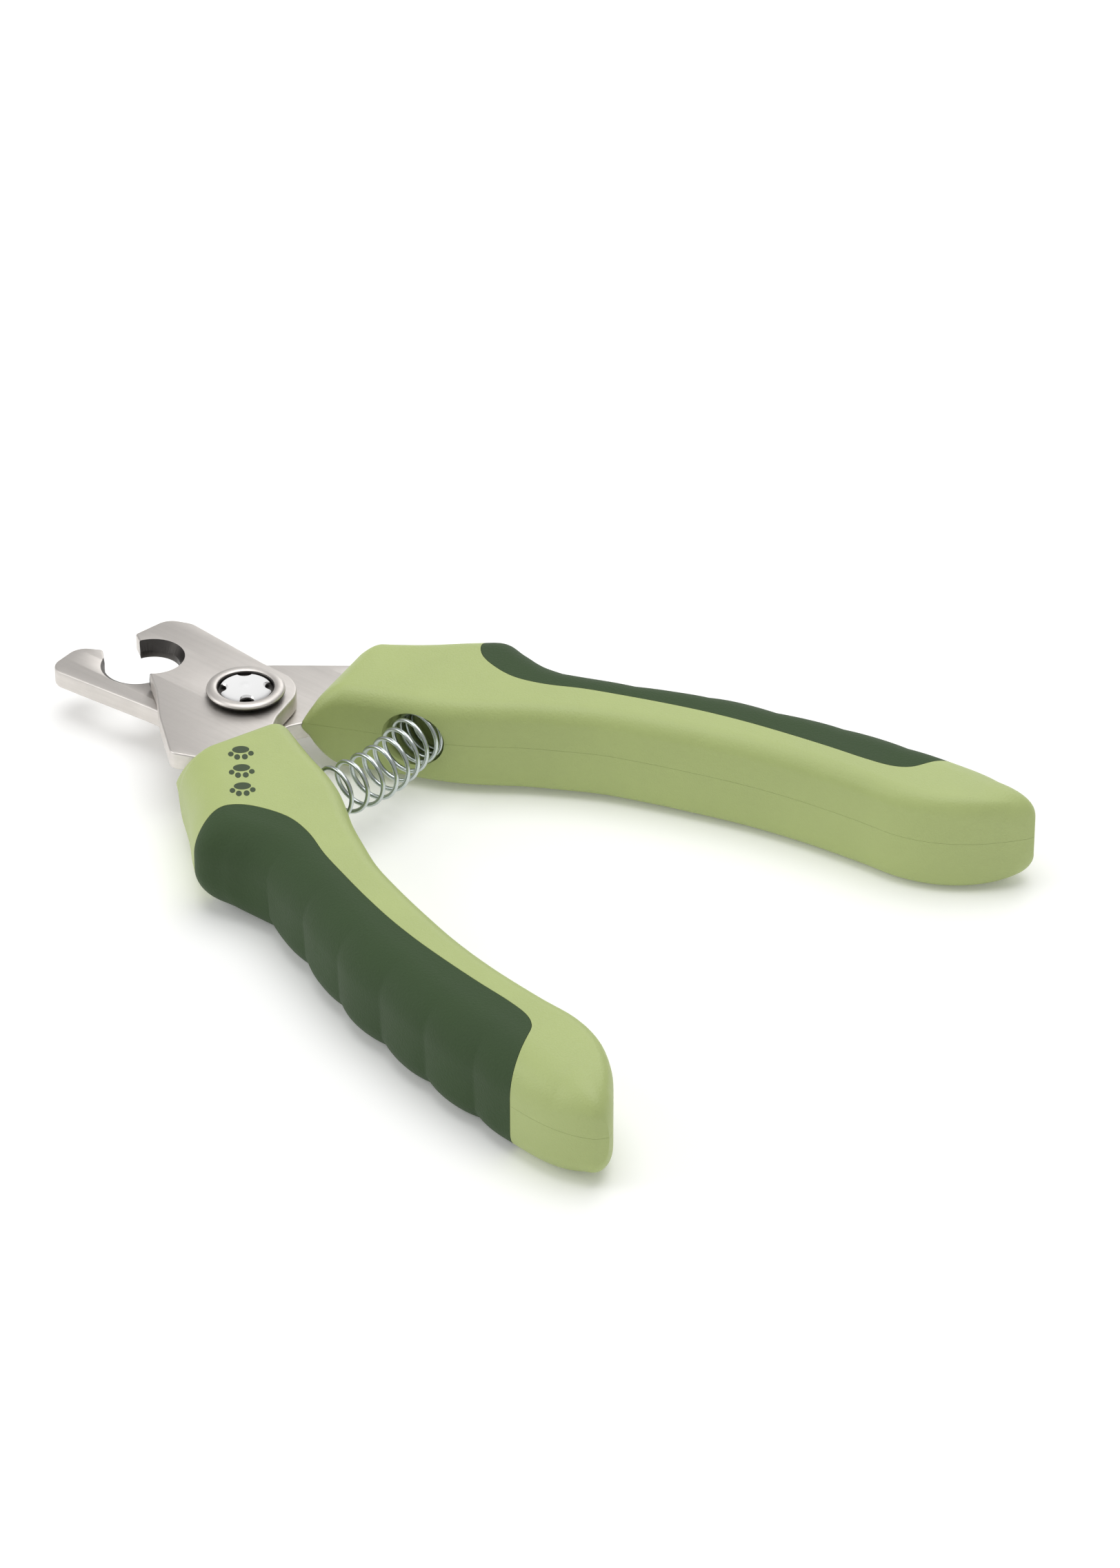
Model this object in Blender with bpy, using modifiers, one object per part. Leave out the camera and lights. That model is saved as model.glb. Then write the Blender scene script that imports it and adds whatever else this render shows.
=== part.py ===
"""Scissor nail clipper for pets, modelled open at its natural rest angle.

The clipper lies flat on the table plane z = 0 and its pivot axis is the Z axis. Its jaws point to
-X. The far handle runs to +X +Y and carries the lower blade, the hook. The near handle runs to
+X -Y and carries the upper blade. Lengths below are millimetres, and MM turns them into metres.
"""

from math import cos, pi, radians, sin, sqrt, tan

import bmesh
import bpy
from mathutils import Matrix, Vector

MM = 0.001

# Stack heights.
MID_Z = 8.4  # plane between the two blades, where each handle's two shells meet
HANDLE_Z = 7.8  # the handles' widest plane
GAP = 0.3  # room between two solids that touch
BLADE_T = 2.8
NECK_HALF_T = 7.1  # half the handle's thickness at the blades
END_HALF_T = 7.8  # and at its round end, which rests on the table
FULL_SHARE = 0.7  # share of the handle's length at which it reaches its full thickness
END_FALL = 0.93  # how much of its thickness, squared, the round end loses

# Pivot.
PIVOT_HOLE_R = 3.5
BARREL_R = 3.2
SCREW_SHANK_R = 2.2
SCREW_BORE_R = 2.5
SCREW_HEAD_R = 4.0
CUP_R = 5.9
CUP_BORE_R = 4.3
NUT_ACROSS_FLATS = 10.0
NUT_HEAD_H = 4.4
BACK_WASHER_R = 6.2
BACK_WASHER_T = 0.45

# Jaws: the nail notch of each blade, and the hollow grind round the upper one.
LOWER_NOTCH = (-21.4, -0.8, 5.0)
UPPER_NOTCH = (-17.9, -1.1, 4.1)
GRIND_WIDTH = 1.3
GRIND_STEP = 0.2  # how far inside the notch the grind's cone starts
GRIND_RISE = 0.5  # and how far above the blade's lower face

# Spring and its seats, on an axis along Y.
SPRING_X = 24.0
SPRING_HALF_LENGTH = 15.2
SPRING_R = 3.75
WIRE_R = 0.35
SPRING_TURNS = 13
SPRING_BOW = 2.0  # between its seats the spring bows out towards the handles' ends
SPRING_BOW_HALF = 12.5
NEAR_CLOSED_TURNS = 1.0
FAR_CLOSE_TURNS = 3.0  # turns that are wound closer at the far end
FAR_CLOSE_RISE = 1.3
SEAT_R = 4.4
SEAT_FLOOR_Y = 15.6

# Grips.
GRIP_T = 1.8
SCALLOP_PITCH = 10.6
SCALLOP_DEPTH = 0.8
FIRST_SCALLOP_X = 34.0
LAST_SCALLOP_X = 87.0
GRIP_FIRST = 2.6  # stations that the grip starts and ends at
GRIP_LAST = 13.1
GRIP_STEPS = 40

PIN_R = 1.5
PIN_HALF_LENGTH = 4.2
PIN_PLACES = ((30.0, 24.4), (54.0, 33.6))

# Handle in plan, far side: stations from the front face to the round end. Each is the inner edge
# and the outer edge, at the handle's middle plane, where it is widest.
STATIONS = (
    ((8.3, 2.8), (4.8, 20.5)),
    ((20.0, 8.3), (12.5, 26.4)),
    ((26.0, 10.8), (18.8, 32.2)),
    ((30.2, 13.0), (22.2, 34.7)),
    ((33.8, 15.5), (26.5, 33.9)),
    ((37.8, 18.5), (31.0, 33.2)),
    ((42.5, 21.4), (36.2, 34.4)),
    ((48.0, 24.5), (42.2, 36.8)),
    ((54.5, 27.1), (49.5, 39.9)),
    ((61.5, 29.5), (57.5, 43.3)),
    ((69.5, 31.9), (66.5, 45.7)),
    ((78.0, 33.7), (76.0, 48.2)),
    ((87.0, 34.9), (86.0, 50.0)),
    ((94.0, 35.5), (94.0, 51.0)),
    ((99.5, 37.4), (100.5, 51.5)),
    ((104.2, 40.7), (105.0, 51.0)),
    ((107.4, 44.2), (108.4, 49.7)),
    ((109.3, 46.8), (109.8, 48.0)),
)
END_START = 12  # station where the end starts to close, as half an ellipsoid
INNER_ROUND = 2.8
OUTER_TOP_ROUND = 6.0
OUTER_LOW_ROUND = 4.0
NOSE_DROP = 6.6  # how much thinner each side of the handle's nose gets, over NOSE_SPAN stations
NOSE_SPAN = 0.5
NOSE_POWER = 1.6
NOSE_STEPS = 7
MOST_ROUND_SHARE = 0.46  # of a section's width that one corner's rounding takes
ROOM_SKIN = 5  # times its gap that a grip's clearance stands out of the handle
GRIP_FLAT = 0.2  # least flat face left between the grip's edge and its rounding
SHELL_STEPS = 40

# Where the grip ends on the flat faces: its edge line, and the edge it has at its two ends.
GRIP_EDGE = (
    (21.6, 31.0),
    (23.6, 27.6),
    (27.4, 25.4),
    (31.5, 24.9),
    (36.0, 26.1),
    (41.2, 28.6),
    (47.0, 31.0),
    (53.0, 33.2),
    (59.2, 35.2),
    (65.5, 36.8),
    (72.2, 38.1),
    (79.0, 39.2),
    (85.5, 40.0),
    (89.5, 41.3),
    (92.0, 44.2),
    (94.4, 48.0),
)

# Blades in plan: corners with the radius that rounds each.
TANG = (
    (7.6, 1.6, 4.5),
    (12.0, 9.5, 2.0),
    (16.0, 13.4, 3.0),
    (21.3, 18.0, 3.0),
    (36.0, 21.8, 8.0),
    (48.0, 28.2, 10.0),
    (61.0, 32.3, 2.0),
    (61.5, 37.6, 2.0),
    (47.0, 33.6, 8.0),
    (34.0, 28.6, 8.0),
    (20.0, 28.2, 3.0),
    (6.3, 17.2, 0.4),
)
LOWER_JAW = (
    (3.4, 20.0, 0.6),
    (-5.6, 12.6, 3.0),
    (-11.5, 7.0, 3.0),
    (-16.5, 1.2, 1.0),
    (-25.2, -3.8, 0.5),
    (-28.4, -0.9, 0.4),
    (-31.8, -2.8, 3.0),
    (-31.2, -10.0, 2.6),
    (-12.0, -8.4, 15.0),
    (4.9, -8.0, 6.5),
)
UPPER_JAW = (
    (2.2, -18.9, 1.6),
    (-5.6, -12.8, 3.0),
    (-11.0, -7.7, 2.0),
    (-14.7, -5.0, 0.5),
    (-22.3, 0.8, 0.4),
    (-24.2, 2.0, 0.5),
    (-23.4, 8.2, 3.0),
    (-19.6, 9.7, 3.0),
    (-4.0, 8.2, 10.0),
    (4.9, 8.0, 6.5),
)

LIGHT_GREEN = (0.47, 0.56, 0.24)
DARK_GREEN = (0.045, 0.085, 0.04)
STEEL = (0.52, 0.50, 0.48)


def new_collection(name, hidden=False):
    made = bpy.data.collections.new(name)
    bpy.context.scene.collection.children.link(made)
    made.hide_render = hidden
    return made


def new_material(name, colour, roughness, metallic):
    made = bpy.data.materials.new(name)
    made.use_nodes = True
    shader = made.node_tree.nodes["Principled BSDF"]
    shader.inputs["Base Color"].default_value = (*colour, 1.0)
    shader.inputs["Roughness"].default_value = roughness
    shader.inputs["Metallic"].default_value = metallic
    return made


def add_object(name, data, material=None):
    """A part when it has a material, and a hidden cutter when it has none."""
    made = bpy.data.objects.new(name, data)
    (parts if material else cutters).objects.link(made)
    if material:
        data.materials.append(material)
    else:
        made.hide_render = True
        made.display_type = "WIRE"
    return made


def mesh_object(name, bm, material=None):
    mesh = bpy.data.meshes.new(name)
    bmesh.ops.remove_doubles(bm, verts=bm.verts, dist=1e-6)
    bmesh.ops.recalc_face_normals(bm, faces=bm.faces)
    bm.to_mesh(mesh)
    bm.free()
    return add_object(name, mesh, material)


def shade_round(part, angle=radians(35)):
    part.data.shade_smooth()
    part.data.set_sharp_from_angle(angle=angle)


def cut(part, cutter, operation="DIFFERENCE"):
    modifier = part.modifiers.new(cutter.name, "BOOLEAN")
    modifier.operation = operation
    modifier.solver = "EXACT"
    modifier.object = cutter


def rounded(corners, step=radians(18)):
    """The outline through the corners, each turned by an arc of its own radius."""
    points = []
    for i, (x, y, radius) in enumerate(corners):
        here = Vector((x, y))
        back = (Vector(corners[i - 1][:2]) - here).normalized()
        onward = (Vector(corners[(i + 1) % len(corners)][:2]) - here).normalized()
        half = back.angle(onward) / 2
        centre = here + (back + onward).normalized() * radius / sin(half)
        start = here + back * radius / tan(half) - centre
        turn = (pi - 2 * half) * (1 if back.cross(onward) < 0 else -1)
        count = max(1, round(abs(turn) / step))
        for k in range(count + 1):
            points.append(centre + Matrix.Rotation(turn * k / count, 2) @ start)
    return points


def grown(points, margin):
    """The outline moved outwards by the margin."""
    area = sum(points[i - 1].cross(points[i]) for i in range(len(points)))
    moved = []
    for i, here in enumerate(points):
        along = (points[(i + 1) % len(points)] - points[i - 1]).normalized()
        moved.append(here + Vector((along.y, -along.x)) * margin * (1 if area > 0 else -1))
    return moved


def plate(name, outline, low, high, material=None):
    """A flat plate with the outline, between two heights, as a mesh."""
    curve = bpy.data.curves.new(name, "CURVE")
    curve.dimensions = "2D"
    curve.fill_mode = "BOTH"
    curve.extrude = (high - low) / 2 * MM
    spline = curve.splines.new("POLY")
    spline.points.add(len(outline) - 1)
    for point, (x, y) in zip(spline.points, outline):
        point.co = (x * MM, y * MM, 0, 1)
    spline.use_cyclic_u = True
    drawn = bpy.data.objects.new(name + "_outline", curve)
    bpy.context.scene.collection.objects.link(drawn)
    mesh = bpy.data.meshes.new_from_object(
        drawn.evaluated_get(bpy.context.evaluated_depsgraph_get())
    )
    bpy.data.objects.remove(drawn)
    bm = bmesh.new()
    bm.from_mesh(mesh)
    bmesh.ops.translate(bm, verts=bm.verts, vec=(0, 0, (low + high) / 2 * MM))
    return mesh_object(name, bm, material)


def turned(name, profile, sides, material=None):
    """A solid of revolution about Z: its profile runs from the top centre to the bottom centre."""
    mesh = bpy.data.meshes.new(name)
    points = [(radius * MM, 0, z * MM) for radius, z in profile]
    mesh.from_pydata(points, [(i, i + 1) for i in range(len(points) - 1)], [])
    made = add_object(name, mesh, material)
    screw = made.modifiers.new("turn", "SCREW")
    screw.steps = screw.render_steps = sides
    screw.use_merge_vertices = True
    screw.merge_threshold = 1e-5
    return made


def cylinder(name, centre, radius, low, high, sides=32, top_radius=None, material=None):
    bm = bmesh.new()
    place = Matrix.Translation((centre[0] * MM, centre[1] * MM, (low + high) / 2 * MM))
    bmesh.ops.create_cone(
        bm,
        cap_ends=True,
        segments=sides,
        radius1=radius * MM,
        radius2=(radius if top_radius is None else top_radius) * MM,
        depth=(high - low) * MM,
        matrix=place,
    )
    return mesh_object(name, bm, material)


def box(name, low, high):
    bm = bmesh.new()
    bmesh.ops.create_cube(bm, size=1.0)
    for vertex in bm.verts:
        for axis in range(3):
            span = high[axis] - low[axis]
            vertex.co[axis] = (low[axis] + (vertex.co[axis] + 0.5) * span) * MM
    return mesh_object(name, bm)


def loft(name, sections, material=None):
    """A solid through closed sections with equal numbers of points."""
    bm = bmesh.new()
    rings = [[bm.verts.new(Vector(p) * MM) for p in section] for section in sections]
    for before, after in zip(rings, rings[1:]):
        for k in range(len(before)):
            bm.faces.new((before[k - 1], before[k], after[k], after[k - 1]))
    bm.faces.new(rings[0])
    bm.faces.new(rings[-1])
    return mesh_object(name, bm, material)


def smooth(values, t):
    """The point at t along a smooth curve through the values."""
    i = min(int(t), len(values) - 2)
    u = t - i
    before, start, end, after = (
        Vector(values[max(0, min(len(values) - 1, k))]) for k in range(i - 1, i + 3)
    )
    pull = (2 * before - 5 * start + 4 * end - after) * u * u
    return (2 * start + (end - before) * u + pull + (3 * (start - end) + after - before) * u**3) / 2


def half_thickness(t):
    """Half the handle's thickness at station t, thinning to nothing round the end."""
    share = t / (len(STATIONS) - 1)
    half = NECK_HALF_T + (END_HALF_T - NECK_HALF_T) * min(1.0, share / FULL_SHARE)
    into_end = max(0.0, (t - END_START) / (len(STATIONS) - 1 - END_START))
    nose = max(0.0, 1 - t / NOSE_SPAN)
    return half * sqrt(1 - END_FALL * into_end**4) - NOSE_DROP * nose**NOSE_POWER


def scallop(x):
    """How far the grip's finger grooves go in: round lobes that meet in a groove."""
    half = SCALLOP_PITCH / 2
    if not FIRST_SCALLOP_X - half < x < LAST_SCALLOP_X + half:
        return 0.0
    phase = (x - FIRST_SCALLOP_X) / SCALLOP_PITCH % 1.0
    return SCALLOP_DEPTH * (2 * phase - 1) ** 4


def arc(centre, radius, start, end, steps):
    for k in range(steps + 1):
        angle = start + (end - start) * k / steps
        yield (centre[0] + radius * cos(angle), centre[1] + radius * sin(angle))


def handle_frame(t):
    """Inner point, outer point and half thickness of the handle at station t."""
    inner = smooth([s[0] for s in STATIONS], t)
    outer = smooth([s[1] for s in STATIONS], t)
    return inner, outer, half_thickness(t)


def placed(inner, outer, outline):
    """The section's outline, stood up across the handle from its inner to its outer point."""
    across = (outer - inner).normalized()
    return [(*(inner + across * a), HANDLE_Z + z) for a, z in outline]


def handle_section(t):
    """The handle's closed section at station t: round outer side, flatter inner side."""
    inner, outer, half = handle_frame(t)
    width = (outer - inner).length
    most = min(MOST_ROUND_SHARE * width, half * 0.98)
    r_in = min(INNER_ROUND, most)
    r_top = min(OUTER_TOP_ROUND, most)
    r_low = min(OUTER_LOW_ROUND, most)
    outline = [
        *arc((width - r_low, r_low - half), r_low, -pi / 2, 0, 3),
        *arc((width - r_top, half - r_top), r_top, 0, pi / 2, 4),
        *arc((r_in, half - r_in), r_in, pi / 2, pi, 3),
        *arc((r_in, r_in - half), r_in, pi, 1.5 * pi, 3),
    ]
    return placed(inner, outer, outline)


def edge_at(t):
    """Share of the handle's width, from its inner side, where the grip's edge line crosses."""
    inner, outer, _ = handle_frame(t)
    across = outer - inner
    best = 1.0
    for (x0, y0), (x1, y1) in zip(GRIP_EDGE, GRIP_EDGE[1:]):
        edge = Vector((x1 - x0, y1 - y0))
        base = Vector((x0, y0)) - inner
        span = across.cross(edge)
        if abs(span) < 1e-9:
            continue
        share = base.cross(edge) / span
        along = base.cross(across) / span
        if 0 <= along <= 1:
            best = min(best, share)
    return best


def grip_section(t, margin):
    """The grip's C-shaped section at station t, or with a margin its clearance in the handle."""
    inner, outer, half = handle_frame(t)
    width = (outer - inner).length
    skin = margin * ROOM_SKIN
    out = width - (0 if margin else scallop(outer.x)) + skin
    edge = min(edge_at(t) * width, width - OUTER_TOP_ROUND - GRIP_FLAT) - margin
    top = half + skin
    bed = half - GRIP_T - margin
    bed_out = width - GRIP_T - margin
    r_top, r_low = OUTER_TOP_ROUND, OUTER_LOW_ROUND
    bed_top, bed_low = r_top - GRIP_T, r_low - GRIP_T
    outline = [
        (edge, -top),
        *arc((out - r_low, r_low - top), r_low, -pi / 2, 0, 3),
        *arc((out - r_top, top - r_top), r_top, 0, pi / 2, 4),
        (edge, top),
        (edge, bed),
        *arc((bed_out - bed_top, bed - bed_top), bed_top, pi / 2, 0, 2),
        *arc((bed_out - bed_low, bed_low - bed), bed_low, 0, -pi / 2, 2),
        (edge, -bed),
    ]
    return placed(inner, outer, outline)


def grip_stations(margin):
    """Stations along the grip. Its clearance has one more past each end."""
    step = (GRIP_LAST - GRIP_FIRST) / GRIP_STEPS
    stations = [GRIP_FIRST + step * k for k in range(GRIP_STEPS + 1)]
    if margin:
        stations = [GRIP_FIRST - 0.05, *stations, GRIP_LAST + 0.04]
    return stations


def mirror_part(part, side):
    """Turns a far-side piece into the near one."""
    if side > 0:
        return
    bm = bmesh.new()
    bm.from_mesh(part.data)
    bmesh.ops.scale(bm, verts=bm.verts, vec=(1, -1, 1))
    bmesh.ops.reverse_faces(bm, faces=bm.faces)
    bm.to_mesh(part.data)
    bm.free()


def blade(name, jaw, side, low):
    """One blade with its tang, made from one steel blank and pierced for the pivot."""
    corners = [(x, y * side, r) for x, y, r in TANG] + list(jaw)
    made = plate(name, rounded(corners), low, low + BLADE_T, steel)
    cut(made, cylinder(name + "_pivot_hole", (0, 0), PIVOT_HOLE_R, low - 1, low + BLADE_T + 1, 36))
    for number, (x, y) in enumerate(PIN_PLACES):
        hole = cylinder(
            f"{name}_pin_hole_{number}", (x, y * side), PIN_R + GAP, low - 1, low + BLADE_T + 1, 16
        )
        cut(made, hole)
    return made


def make_blades():
    lower_z = MID_Z - GAP / 2 - BLADE_T
    upper_z = MID_Z + GAP / 2
    lower = blade("lower_blade", LOWER_JAW, 1, lower_z)
    x, y, radius = LOWER_NOTCH
    cut(lower, cylinder("lower_notch", (x, y), radius, lower_z - 1, lower_z + BLADE_T + 1, 48))
    upper = blade("upper_blade", UPPER_JAW, -1, upper_z)
    x, y, radius = UPPER_NOTCH
    cut(upper, cylinder("upper_notch", (x, y), radius, upper_z - 1, upper_z + BLADE_T + 1, 48))
    grind = cylinder(
        "hollow_grind",
        (x, y),
        radius - GRIND_STEP,
        upper_z + GRIND_RISE,
        upper_z + BLADE_T + GRIND_RISE,
        48,
        radius + GRIND_WIDTH,
    )
    cut(upper, grind)


def make_pivot():
    """Dome-headed screw in a cup washer, into a barrel nut with a back washer."""
    top = MID_Z + GAP / 2 + BLADE_T
    barrel_top = top - 0.4
    shank_low = NUT_HEAD_H
    turned(
        "pivot_cup_washer",
        (
            (CUP_BORE_R - 0.1, top + GAP + 1.05),
            (CUP_BORE_R + 0.35, top + GAP + 1.25),
            (CUP_R - 0.6, top + GAP + 1.2),
            (CUP_R - 0.15, top + GAP + 0.85),
            (CUP_R, top + GAP + 0.3),
            (CUP_R, top + GAP),
            (SCREW_SHANK_R + GAP, top + GAP),
            (SCREW_SHANK_R + GAP, top + GAP + 0.35),
            (CUP_BORE_R - 0.15, top + GAP + 0.35),
            (CUP_BORE_R - 0.1, top + GAP + 1.05),
        ),
        44,
        steel,
    )
    head_low = top + GAP + 0.35 + GAP
    head = turned(
        "pivot_screw",
        (
            (0, head_low + 0.75),
            (1.6, head_low + 0.7),
            (3.0, head_low + 0.52),
            (SCREW_HEAD_R - 0.25, head_low + 0.3),
            (SCREW_HEAD_R - 0.1, head_low),
            (SCREW_SHANK_R, head_low),
            (SCREW_SHANK_R, shank_low),
            (0, shank_low),
        ),
        36,
        steel,
    )
    for number in range(4):
        angle = radians(52 + 90 * number)
        place = (cos(angle) * (SCREW_HEAD_R + 0.1), sin(angle) * (SCREW_HEAD_R + 0.1))
        cut(head, cylinder(f"head_notch_{number}", place, 0.75, head_low - 1, head_low + 2, 12))
    nut = cylinder("pivot_nut", (0, 0), NUT_ACROSS_FLATS / 2 / cos(pi / 6), 0, NUT_HEAD_H, 6,
                   material=steel)
    barrel = cylinder("barrel", (0, 0), BARREL_R, NUT_HEAD_H - 0.5, barrel_top, 36)
    cut(nut, barrel, "UNION")
    cut(nut, cylinder("nut_bore", (0, 0), SCREW_BORE_R, shank_low - 1, barrel_top + 1, 32))
    washer_low = NUT_HEAD_H + GAP
    turned(
        "back_washer",
        (
            (PIVOT_HOLE_R, washer_low + BACK_WASHER_T),
            (BACK_WASHER_R, washer_low + BACK_WASHER_T),
            (BACK_WASHER_R, washer_low),
            (PIVOT_HOLE_R, washer_low),
            (PIVOT_HOLE_R, washer_low + BACK_WASHER_T),
        ),
        36,
        steel,
    )


def make_spring():
    """A helical compression spring whose end turns lie closed in the seats."""
    curve = bpy.data.curves.new("return_spring", "CURVE")
    curve.dimensions = "3D"
    curve.bevel_depth = WIRE_R * MM
    curve.bevel_resolution = 1
    curve.use_fill_caps = True
    spline = curve.splines.new("POLY")
    per_turn = 14
    count = SPRING_TURNS * per_turn
    spline.points.add(count)
    reach = SPRING_HALF_LENGTH - WIRE_R
    near_rise = 2.4 * WIRE_R  # a closed turn rises a little over the wire's thickness
    open_low = near_rise * NEAR_CLOSED_TURNS - reach
    open_high = reach - FAR_CLOSE_RISE * FAR_CLOSE_TURNS
    open_turns = SPRING_TURNS - NEAR_CLOSED_TURNS - FAR_CLOSE_TURNS
    for k in range(count + 1):
        turn = k / per_turn
        open_share = (turn - NEAR_CLOSED_TURNS) / open_turns
        if open_share < 0:
            y = near_rise * turn - reach
        elif open_share > 1:
            y = reach - FAR_CLOSE_RISE * (SPRING_TURNS - turn)
        else:
            y = open_low + (open_high - open_low) * open_share
        angle = 2 * pi * turn
        bow = SPRING_BOW * max(0.0, 1 - (y / SPRING_BOW_HALF) ** 2) ** 2
        spline.points[k].co = (
            (SPRING_X + bow + SPRING_R * cos(angle)) * MM,
            y * MM,
            (MID_Z + SPRING_R * sin(angle)) * MM,
            1,
        )
    return add_object("return_spring", curve, steel)


def make_handle(side, name, tang_above):
    """Two half shells over the tang, the grip round their outer side, and the tang's pins."""
    last = len(STATIONS) - 1
    ts = [NOSE_SPAN * k / NOSE_STEPS for k in range(NOSE_STEPS)]
    ts += [NOSE_SPAN + (last - NOSE_SPAN) * k / SHELL_STEPS for k in range(SHELL_STEPS + 1)]
    grip = loft(f"{name}_grip", [grip_section(t, 0) for t in grip_stations(0)], dark_rubber)
    mirror_part(grip, side)
    shade_round(grip, radians(40))
    room = loft(f"{name}_grip_room", [grip_section(t, GAP) for t in grip_stations(GAP)])
    mirror_part(room, side)
    corners = [(x, y * side, r) for x, y, r in TANG]
    mouth = ((3.0, 20.8 * side, 0.5), (-1.0, 12.0 * side, 0.5), (6.0, -1.0 * side, 0.5))
    low = MID_Z + GAP / 2 if tang_above else MID_Z - GAP / 2 - BLADE_T
    pocket = plate(
        f"{name}_tang_pocket",
        grown(rounded(corners + list(mouth)), GAP),
        low - GAP,
        low + BLADE_T + GAP,
    )
    seat = cylinder(f"{name}_spring_seat", (0, 0), SEAT_R, 0, SEAT_FLOOR_Y, 28)
    turn = Matrix.Rotation(-side * pi / 2, 4, "X")
    seat.data.transform(Matrix.Translation((SPRING_X * MM, 0, MID_Z * MM)) @ turn)
    pins = [
        cylinder(f"{name}_pin_room_{k}", (x, y * side), PIN_R + GAP, MID_Z - PIN_HALF_LENGTH - GAP,
                 MID_Z + PIN_HALF_LENGTH + GAP, 16)
        for k, (x, y) in enumerate(PIN_PLACES)
    ]
    for half, low_z, high_z in (("top", -20, MID_Z + GAP / 2), ("bottom", MID_Z - GAP / 2, 40)):
        shell = loft(f"{name}_{half}_shell", [handle_section(t) for t in ts], light_plastic)
        mirror_part(shell, side)
        shade_round(shell)
        other = box(f"{name}_{half}_split", (-40, -80, low_z), (140, 80, high_z))
        for cutter in (other, room, pocket, seat, *pins):
            cut(shell, cutter)
    for place, (x, y) in zip(("front", "rear"), PIN_PLACES):
        pin = cylinder(f"{name}_{place}_tang_pin", (x, y * side), PIN_R, MID_Z - PIN_HALF_LENGTH,
                       MID_Z + PIN_HALF_LENGTH, 16, material=steel)
        shade_round(pin)


for old in list(bpy.data.objects):
    bpy.data.objects.remove(old)
parts = new_collection("scissor_nail_clipper")
cutters = new_collection("cutters", hidden=True)
steel = new_material("satin_steel", STEEL, 0.35, 1.0)
light_plastic = new_material("light_green_plastic", LIGHT_GREEN, 0.45, 0.0)
dark_rubber = new_material("dark_green_rubber", DARK_GREEN, 0.6, 0.0)
make_blades()
make_pivot()
make_spring()
make_handle(1, "far", tang_above=False)
make_handle(-1, "near", tang_above=True)
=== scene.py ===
"""Finished look of the scissor nail clipper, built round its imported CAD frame.

The clipper lies flat on the table plane z = 0 and its pivot is the Z axis. Its jaws point to -X.
The far handle runs to +X +Y and carries the lower blade, the near handle runs to +X -Y and carries
the upper blade. Lengths are millimetres, and MM turns them into metres.
"""

from functools import partial
from math import atan2, cos, pi, radians, sin, sqrt, tan

import bmesh
import bpy
from mathutils import Matrix, Vector


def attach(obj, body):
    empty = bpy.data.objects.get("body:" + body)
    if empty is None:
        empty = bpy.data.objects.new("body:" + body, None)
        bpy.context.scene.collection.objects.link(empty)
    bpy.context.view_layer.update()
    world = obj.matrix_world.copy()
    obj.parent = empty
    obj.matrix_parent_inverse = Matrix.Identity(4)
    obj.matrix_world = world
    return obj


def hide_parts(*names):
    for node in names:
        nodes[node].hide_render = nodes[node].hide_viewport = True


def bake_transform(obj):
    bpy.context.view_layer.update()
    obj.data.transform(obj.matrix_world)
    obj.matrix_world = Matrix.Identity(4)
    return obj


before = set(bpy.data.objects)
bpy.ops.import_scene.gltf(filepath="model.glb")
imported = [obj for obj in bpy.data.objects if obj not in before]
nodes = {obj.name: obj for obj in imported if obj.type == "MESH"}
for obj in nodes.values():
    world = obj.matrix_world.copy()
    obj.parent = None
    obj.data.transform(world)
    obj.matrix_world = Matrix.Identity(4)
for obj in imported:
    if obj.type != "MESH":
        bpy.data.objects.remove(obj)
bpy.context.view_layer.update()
MM = 0.001


def link(name, data):
    made = bpy.data.objects.new(name, data)
    bpy.context.scene.collection.objects.link(made)
    return made


def aimed(place, aim):
    """The stand of a camera or lamp at the place, looking at the aim."""
    place, aim = Vector(place), Vector(aim)
    return Matrix.LocRotScale(place, (aim - place).to_track_quat("-Z", "Y"), None)


# ----------------------------------------------------------
# Camera. A long lens, from the right front, looking down by a third of a right angle.
# ----------------------------------------------------------
CAMERA_AT = Vector((0.5778, -0.6154, 0.5441))
CAMERA_AIM = Vector((0.0403, 0.0244, 0.0002))
CAMERA_LENS = 216.25

camera_data = bpy.data.cameras.new("camera")
camera_data.sensor_fit = "HORIZONTAL"
camera_data.sensor_width = 36.0
camera_data.lens = CAMERA_LENS
camera = link("camera", camera_data)
camera.matrix_world = aimed(CAMERA_AT, CAMERA_AIM)
bpy.context.scene.camera = camera

# ----------------------------------------------------------
# Studio. A pale table top with a weak glow under a white sky, with one large soft lamp overhead, a
# second one from the left front and a weak one behind, so that the shadows stay faint.
# ----------------------------------------------------------
TABLE_SIZE = 6.0
TABLE_TONE = (0.95, 0.95, 0.94)
TABLE_GLOW = 0.12  # a light table, so that shadows stay pale
TABLE_DROP = 0.0002  # the table lies this far below the clipper
LAMPS = (
    # name, place, aim, size, watts, share of it that shows as a reflection
    ("overhead_softbox", (0.05, 0.10, 0.95), (0.04, 0.0, 0.0), 1.0, 5.6, 0.45),
    ("left_front_softbox", (-0.75, -0.70, 0.65), (0.02, 0.0, 0.0), 0.8, 3.6, 1.0),
    ("rear_softbox", (-0.35, 0.95, 0.55), (0.02, 0.0, 0.0), 0.7, 1.9, 1.0),
)
SKY_STRENGTH = 0.43


def new_material(name, roughness, metallic=0.0):
    """A material, its Principled shader and its node tree."""
    made = bpy.data.materials.new(name)
    made.use_nodes = True
    shader = made.node_tree.nodes["Principled BSDF"]
    shader.inputs["Roughness"].default_value = roughness
    shader.inputs["Metallic"].default_value = metallic
    return made, shader, made.node_tree


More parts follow.
